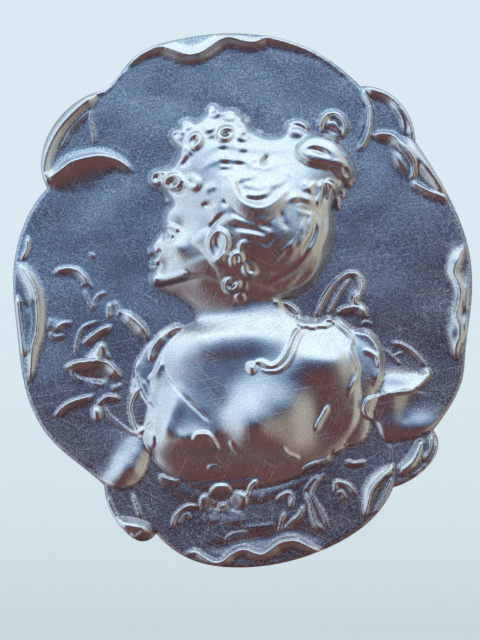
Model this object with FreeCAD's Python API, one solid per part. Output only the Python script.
"""Oval stamped-silver brooch, worn upright, with a hinged pin and a turning safety catch on its back.

Built in plate coordinates: x to the right and z up across the face, h out of the face from the
back plate's rear side. The export moves it into the row frame, whose origin is the middle of the
pin's straight stretch, with +Z up as worn and -Y out of the face. All sizes are in millimetres.
"""

import FreeCAD, Part
import math
import os

Vector = FreeCAD.Vector

# Plate
SHEET = 0.45                 # thickness of the stamped sheet
BACK_THICK = 0.5             # thickness of the flat back sheet
FIELD_EDGE = 2.0             # height of the plain field at the rim, above the back plate's rear side
FIELD_CROWN = 0.8            # how much the field domes up towards its middle
RIM_RISE = 0.5               # how far the turned-up rim stands above the field
RIM_WIDTH = 1.2
HALF_WIDTH = 23.0
HALF_HEIGHT = 26.8
VENT_RADIUS = 0.5            # soldering vent in the back sheet
VENT_Z = -14.0
SURFACE_PITCH = 0.6          # spacing of the points that the face's surface passes through

# Pin, hinge and catch
PIN_STANDOFF = 2.6           # from the back plate's rear side to the pin's axis
PIN_ABOVE = 7.0              # the pin lies above the plate's middle, so that the brooch hangs straight
PIN_RADIUS = 0.5
HINGE_X = -13.5
PIN_STRAIGHT_END = 8.0       # the point starts to taper here
PIN_TIP_X = 15.0
PIN_TIP_RADIUS = 0.12
PIN_NECK = 2.4               # from the rivet's axis to where the straight stretch starts
PIN_ROOT_RADIUS = 0.72       # the pin is thicker where it leaves the eye
EYE_RADIUS = 1.1
EYE_THICK = 1.6
RIVET_RADIUS = 0.4
RIVET_HEAD_RADIUS = 0.75
RIVET_HEAD_THICK = 0.3
RUNNING_GAP = 0.05           # radial clearance of everything that turns
SIDE_GAP = 0.1               # clearance beside the eye and beside the catch's lock
FOOT = 0.6                   # thickness of the two soldered foot plates
FOOT_SIDE = 5.4
WEB = 0.5                    # thickness of the hinge bracket's web and ears
EAR_REACH = 1.3              # how far the ears reach past the rivet's axis
CATCH_X = 12.5
CATCH_LENGTH = 2.4
CATCH_OUTER = 2.0
CATCH_BORE = 1.45
CATCH_MOUTH = 34.0           # half angle of the housing's mouth, in degrees
LOCK_BORE = 0.78
LOCK_MOUTH = 42.0
LOCK_FLANGE = 0.5
LOCK_FLANGE_RADIUS = 1.9
LOCK_LIP = 0.25
LOCK_LIP_RADIUS = 1.62
TAB_LENGTH = 3.6             # from the lock's axis to the end of its finger tab
TAB_WIDTH = 1.1
TAB_ANGLE = -75.0            # the tab's direction from straight out of the back, with the lock open

# The outline, clockwise as seen on the face: each petal from one notch to the next, as (x, z)
PETALS = {
    "top": [(-13.8, 21.1), (-12.5, 22.5), (-11.3, 24.0), (-9.6, 25.2), (-7.0, 26.1), (-1.2, 26.8),
            (5.9, 25.6), (10.3, 22.9), (11.9, 21.4)],
    "upper_right": [(11.9, 21.4), (15.0, 20.5), (17.0, 17.8), (17.4, 15.8)],
    "right": [(17.4, 15.8), (20.5, 10.7), (22.7, 4.9), (23.0, 0.5), (22.3, -5.5), (22.1, -7.6),
              (20.8, -10.7), (19.1, -13.1)],
    "lower_right": [(19.1, -13.1), (19.6, -14.5), (17.8, -17.4), (15.1, -18.8)],
    "bottom": [(15.1, -18.8), (13.9, -20.9), (8.4, -24.9), (-0.4, -26.8), (-3.0, -26.6), (-8.6, -23.4)],
    "lower_left": [(-8.6, -23.4), (-10.0, -24.2), (-12.0, -22.9), (-13.4, -20.6), (-13.8, -18.6)],
    "left": [(-13.8, -18.6), (-16.2, -16.6), (-19.0, -14.2), (-21.2, -10.6), (-22.6, -3.0),
             (-23.0, 2.4), (-21.7, 8.1), (-19.6, 11.2)],
    "upper_left": [(-19.6, 11.2), (-20.2, 14.2), (-17.6, 19.2), (-13.8, 21.1)],
}

# The rounded forms of the relief: (x, z, half width, half height, tilt in degrees, height)
FORMS = {
    "back": (0.4, -10.6, 12.0, 7.6, -6.0, 2.6),
    "right_shoulder": (7.4, -6.6, 6.4, 5.0, -30.0, 2.6),
    "left_shoulder": (-5.0, -7.0, 6.8, 5.0, 38.0, 2.4),
    "neck": (-0.8, -0.6, 4.4, 5.4, 14.0, 2.3),
    "skull": (0.4, 8.4, 9.8, 9.8, 0.0, 2.7),
    "cheek": (-4.6, 4.0, 5.6, 6.4, -16.0, 2.5),
    "crown_hair": (-0.6, 13.6, 7.8, 5.0, -6.0, 3.0),
    "nape_hair": (4.6, 5.4, 5.8, 6.6, -14.0, 3.3),
    "bun": (8.4, 13.4, 4.2, 4.0, 0.0, 3.2),
    "bun_curl": (9.2, 17.8, 2.6, 2.4, 0.0, 2.4),
    "fringe": (-5.6, 15.6, 4.0, 3.4, 40.0, 2.5),
    "temple_curl": (-7.6, 12.0, 2.8, 2.4, 0.0, 2.3),
    "right_flower": (15.4, -7.0, 4.6, 4.2, 10.0, 1.5),
    "flower_lip": (13.6, -11.4, 3.4, 2.6, -40.0, 1.1),
    "sleeve": (11.0, -7.4, 3.0, 6.2, 12.0, 1.7),
    "left_bud": (-18.0, 0.2, 2.4, 3.0, 20.0, 0.8),
    "left_star": (-12.6, -1.2, 2.8, 2.4, 0.0, 0.8),
    "lily_mouth": (-14.2, -7.6, 4.2, 2.4, -12.0, 1.1),
    "lily_leaves": (-17.0, -10.8, 3.2, 2.2, 25.0, 0.8),
    "small_flower": (-1.8, -20.6, 3.4, 2.8, 0.0, 1.0),
    "left_leaf": (-6.2, -21.8, 2.4, 2.4, 0.0, 0.7),
    "lower_lip": (-12.0, -17.2, 3.2, 3.2, 40.0, 0.9),
    "lower_right_lip": (17.0, -15.4, 2.8, 2.0, 40.0, 0.8),
}

# The narrow raised lines of the relief: (half width, height, points along the middle)
RIDGES = {
    "left_petal_edge": (1.6, 0.7, [(-19.8, 11.4), (-17.4, 13.4), (-13.9, 14.2), (-11.0, 12.6)]),
    "right_petal_edge": (1.6, 0.7, [(12.8, 16.4), (15.6, 15.6), (18.4, 12.8), (20.6, 10.4)]),
    "top_petal_edge": (1.6, 0.7, [(11.9, 21.0), (13.0, 18.8), (12.0, 15.4)]),
    "left_lower_edge": (1.6, 0.7, [(-14.0, -18.4), (-11.2, -18.6), (-9.4, -16.6), (-8.6, -14.8)]),
    "right_lower_edge": (1.6, 0.7, [(18.6, -13.2), (16.2, -14.4), (13.8, -13.4)]),
    "bottom_edge": (1.6, 0.7, [(15.0, -16.0), (13.2, -18.8), (12.4, -21.6)]),
    "ribbon": (1.6, 3.0, [(6.2, -2.8), (4.2, -5.2), (1.2, -7.4)]),
    "bow_loop": (1.6, 1.5, [(7.6, -1.6), (9.8, 1.6), (11.8, 2.2), (12.0, 0.4), (9.8, -1.2)]),
    "strap": (1.6, 2.8, [(-8.2, -6.2), (-5.6, -9.2), (-2.8, -11.8)]),
    "left_drape": (1.6, 1.8, [(-7.8, -3.2), (-9.4, -5.4), (-9.2, -8.6), (-8.0, -11.4)]),
    "left_stem": (1.4, 0.7, [(-14.6, 2.4), (-14.9, -2.2), (-14.5, -6.4)]),
    "lily_stem": (1.4, 0.7, [(-13.6, -10.2), (-11.8, -12.6), (-9.6, -13.4)]),
    "tulip_stems": (1.4, 0.8, [(6.8, -17.8), (7.2, -20.6), (8.6, -22.8)]),
}


def petal_wire(inset=0.0):
    """The closed outline, drawn in towards the middle by an inset, in the plane h = 0."""
    edges = []
    for points in PETALS.values():
        curve = Part.BSplineCurve()
        pulled = []
        for x, z in points:
            share = 1.0 - inset / math.hypot(x, z)
            pulled.append(Vector(x * share, 0, z * share))
        curve.interpolate(pulled)
        edges.append(curve.toShape())
    return Part.Wire(edges)


def prism(h_low, h_high, inset=0.0):
    """The outline extruded from one height to another."""
    face = Part.Face(petal_wire(inset))
    face.translate(Vector(0, -h_low, 0))
    return face.extrude(Vector(0, h_low - h_high, 0))


def form_height(x, z, form):
    """One rounded form: full in the middle, running out smoothly to nothing at its edge."""
    cx, cz, half_w, half_h, tilt, height = form
    c, s = math.cos(math.radians(tilt)), math.sin(math.radians(tilt))
    u = ((x - cx) * c + (z - cz) * s) / half_w
    v = ((z - cz) * c - (x - cx) * s) / half_h
    r2 = u * u + v * v
    return height * (1.0 - r2) ** 1.2 if r2 < 1.0 else 0.0


def ridge_height(x, z, ridge):
    """One raised line: a rounded section along a chain of straight runs."""
    half_width, height, points = ridge
    nearest = half_width
    for (x0, z0), (x1, z1) in zip(points, points[1:]):
        run = (x1 - x0) ** 2 + (z1 - z0) ** 2
        t = max(0.0, min(1.0, ((x - x0) * (x1 - x0) + (z - z0) * (z1 - z0)) / run))
        nearest = min(nearest, math.hypot(x - x0 - t * (x1 - x0), z - z0 - t * (z1 - z0)))
    return height * (1.0 - (nearest / half_width) ** 2) ** 1.5


def face_height(x, z):
    """Height of the stamped face above the back plate's rear side."""
    bow = (x / HALF_WIDTH) ** 2 + (z / HALF_HEIGHT) ** 2
    field = FIELD_EDGE + FIELD_CROWN * (1.0 - bow)
    raised = [form_height(x, z, form) for form in FORMS.values()]
    raised += [ridge_height(x, z, ridge) for ridge in RIDGES.values()]
    return field + sum(r ** 4 for r in raised) ** 0.25


def behind_surface(rise, depth=12.0):
    """Everything behind the face's surface, once that is raised by rise."""
    margin = 2.0 * SURFACE_PITCH
    columns = int((HALF_WIDTH + margin) / SURFACE_PITCH)
    rows = int((HALF_HEIGHT + margin) / SURFACE_PITCH)
    points = [
        [
            Vector(i * SURFACE_PITCH, -face_height(i * SURFACE_PITCH, k * SURFACE_PITCH) - rise, k * SURFACE_PITCH)
            for k in range(-rows, rows + 1)
        ]
        for i in range(-columns, columns + 1)
    ]
    surface = Part.BSplineSurface()
    surface.interpolate(points)
    return surface.toShape().extrude(Vector(0, depth, 0))


def make_face_shell():
    """The stamped sheet: the field with its relief, a turned-up rim and side walls, hollow behind."""
    highest = FIELD_EDGE + FIELD_CROWN + 6.0
    body = prism(BACK_THICK, highest).common(behind_surface(0.0))
    rim_zone = prism(BACK_THICK, highest).cut(prism(0.0, highest + 1.0, RIM_WIDTH))
    rim = rim_zone.common(behind_surface(RIM_RISE))
    hollow = prism(0.0, highest, SHEET).common(behind_surface(-SHEET))
    return body.fuse(rim).cut(hollow)


def make_back_plate():
    vent = Part.makeCylinder(VENT_RADIUS, 2 * BACK_THICK, Vector(0, 0.5 * BACK_THICK, VENT_Z), Vector(0, -1, 0))
    return prism(0.0, BACK_THICK).cut(vent)


def foot_plate(x):
    """A square foot with rounded corners, soldered to the back sheet under the hinge or the catch."""
    half = FOOT_SIDE / 2
    plate = Part.makeBox(FOOT_SIDE, FOOT, FOOT_SIDE, Vector(x - half, 0, PIN_ABOVE - half))
    corners = [e for e in plate.Edges if abs(e.Vertexes[0].Y - e.Vertexes[1].Y) > 0.5 * FOOT]
    return plate.makeFillet(1.2, corners)


def along_z(radius, low, high, x, y):
    return Part.makeCylinder(radius, high - low, Vector(x, y, PIN_ABOVE + low), Vector(0, 0, 1))


def along_x(radius, low, high):
    return Part.makeCylinder(radius, high - low, Vector(low, PIN_STANDOFF, PIN_ABOVE), Vector(1, 0, 0))


def make_hinge_bracket():
    """A U-shaped joint: a web on the foot plate and two ears that hold the rivet."""
    ear_in = EYE_THICK / 2 + SIDE_GAP
    ear_out = ear_in + WEB
    web = Part.makeBox(2 * EAR_REACH, WEB, 2 * ear_out, Vector(HINGE_X - EAR_REACH, FOOT, PIN_ABOVE - ear_out))
    ears = []
    for low, high in ((-ear_out, -ear_in), (ear_in, ear_out)):
        block = Part.makeBox(2 * EAR_REACH, PIN_STANDOFF - FOOT, high - low,
                             Vector(HINGE_X - EAR_REACH, FOOT, PIN_ABOVE + low))
        ears.append(block.fuse(along_z(EAR_REACH, low, high, HINGE_X, PIN_STANDOFF)))
    bracket = web.fuse(ears)
    return bracket.cut(along_z(RIVET_RADIUS, -ear_out - 1, ear_out + 1, HINGE_X, PIN_STANDOFF)).removeSplitter()


def make_hinge_rivet():
    """The rivet, headed over outside both ears."""
    ear_out = EYE_THICK / 2 + SIDE_GAP + WEB
    shank = along_z(RIVET_RADIUS, -ear_out, ear_out, HINGE_X, PIN_STANDOFF)
    heads = [
        along_z(RIVET_HEAD_RADIUS, low, low + RIVET_HEAD_THICK, HINGE_X, PIN_STANDOFF)
        for low in (-ear_out - RIVET_HEAD_THICK, ear_out)
    ]
    return shank.fuse(heads).removeSplitter()


def make_pin_stem():
    """The pin: a flat eye round the rivet, a thick root, a straight stretch and a long tapered point."""
    start = HINGE_X + PIN_NECK
    eye = along_z(EYE_RADIUS, -EYE_THICK / 2, EYE_THICK / 2, HINGE_X, PIN_STANDOFF)
    root = Part.makeCone(PIN_ROOT_RADIUS, PIN_RADIUS, PIN_NECK, Vector(HINGE_X, PIN_STANDOFF, PIN_ABOVE),
                         Vector(1, 0, 0))
    straight = along_x(PIN_RADIUS, start, PIN_STRAIGHT_END)
    point = Part.makeCone(PIN_RADIUS, PIN_TIP_RADIUS, PIN_TIP_X - PIN_STRAIGHT_END,
                          Vector(PIN_STRAIGHT_END, PIN_STANDOFF, PIN_ABOVE), Vector(1, 0, 0))
    bore = along_z(RIVET_RADIUS + RUNNING_GAP, -EYE_THICK, EYE_THICK, HINGE_X, PIN_STANDOFF)
    return eye.fuse([root, straight, point]).cut(bore).removeSplitter()


def mouth(half_angle, low, high, reach=6.0):
    """A wedge that opens straight out of the back from the pin's axis, to cut a mouth in a ring."""
    out = math.radians(half_angle)
    corners = [
        Vector(low, PIN_STANDOFF, PIN_ABOVE),
        Vector(low, PIN_STANDOFF + reach * math.cos(out), PIN_ABOVE - reach * math.sin(out)),
        Vector(low, PIN_STANDOFF + reach * math.cos(out), PIN_ABOVE + reach * math.sin(out)),
    ]
    return Part.Face(Part.makePolygon(corners + corners[:1])).extrude(Vector(high - low, 0, 0))


def make_catch_housing():
    """A ring on a foot, open straight out of the back, that the lock turns in."""
    low, high = CATCH_X - CATCH_LENGTH / 2, CATCH_X + CATCH_LENGTH / 2
    half = 1.3
    foot = Part.makeBox(CATCH_LENGTH, PIN_STANDOFF - FOOT, 2 * half, Vector(low, FOOT, PIN_ABOVE - half))
    ring = along_x(CATCH_OUTER, low, high).fuse(foot)
    return ring.cut(along_x(CATCH_BORE, low - 1, high + 1)).cut(mouth(CATCH_MOUTH, low - 1, high + 1)).removeSplitter()


def make_catch_lock():
    """A slotted sleeve inside the housing, with a lip at one end and a flange with a tab at the other."""
    low = CATCH_X - CATCH_LENGTH / 2 - SIDE_GAP
    high = CATCH_X + CATCH_LENGTH / 2 + SIDE_GAP
    sleeve = along_x(CATCH_BORE - RUNNING_GAP, low - LOCK_LIP, high + LOCK_FLANGE)
    lip = along_x(LOCK_LIP_RADIUS, low - LOCK_LIP, low)
    flange = along_x(LOCK_FLANGE_RADIUS, high, high + LOCK_FLANGE)
    tab = Part.makeBox(LOCK_FLANGE, TAB_LENGTH - TAB_WIDTH / 2, TAB_WIDTH,
                       Vector(high, PIN_STANDOFF, PIN_ABOVE - TAB_WIDTH / 2))
    tab_end = Part.makeCylinder(TAB_WIDTH / 2, LOCK_FLANGE,
                                Vector(high, PIN_STANDOFF + TAB_LENGTH - TAB_WIDTH / 2, PIN_ABOVE), Vector(1, 0, 0))
    tab = tab.fuse(tab_end)
    tab.rotate(Vector(0, PIN_STANDOFF, PIN_ABOVE), Vector(1, 0, 0), TAB_ANGLE)
    lock = sleeve.fuse([lip, flange, tab])
    lock = lock.cut(along_x(LOCK_BORE, low - 1, high + LOCK_FLANGE + 1))
    return lock.cut(mouth(LOCK_MOUTH, low - 1, high + LOCK_FLANGE + 1)).removeSplitter()


def export(name, shape):
    """Moves a shape from plate coordinates to the row frame and writes its STEP file."""
    middle = (HINGE_X + PIN_NECK + PIN_STRAIGHT_END) / 2
    placed = shape.copy()
    placed.translate(Vector(-middle, -PIN_STANDOFF, -PIN_ABOVE))
    for i, solid in enumerate(placed.Solids):
        if not solid.isValid():
            raise ValueError(f"{name}: solid {i} isn't valid")
    out = placed.Solids[0] if len(placed.Solids) == 1 else Part.makeCompound(placed.Solids)
    out.exportStep(f"parts/{name}.step")
    box = out.BoundBox
    print(f"{name:15s} solids {len(placed.Solids)}  volume {out.Volume:9.3f} mm3  "
          f"box {box.XLength:.2f} x {box.YLength:.2f} x {box.ZLength:.2f}")


def main():
    os.makedirs("parts", exist_ok=True)
    makers = {
        "face_shell": make_face_shell,
        "back_plate": make_back_plate,
        "hinge_base": lambda: foot_plate(HINGE_X),
        "hinge_bracket": make_hinge_bracket,
        "hinge_rivet": make_hinge_rivet,
        "pin_stem": make_pin_stem,
        "catch_base": lambda: foot_plate(CATCH_X),
        "catch_housing": make_catch_housing,
        "catch_lock": make_catch_lock,
    }
    for name, make in makers.items():
        export(name, make())


main()
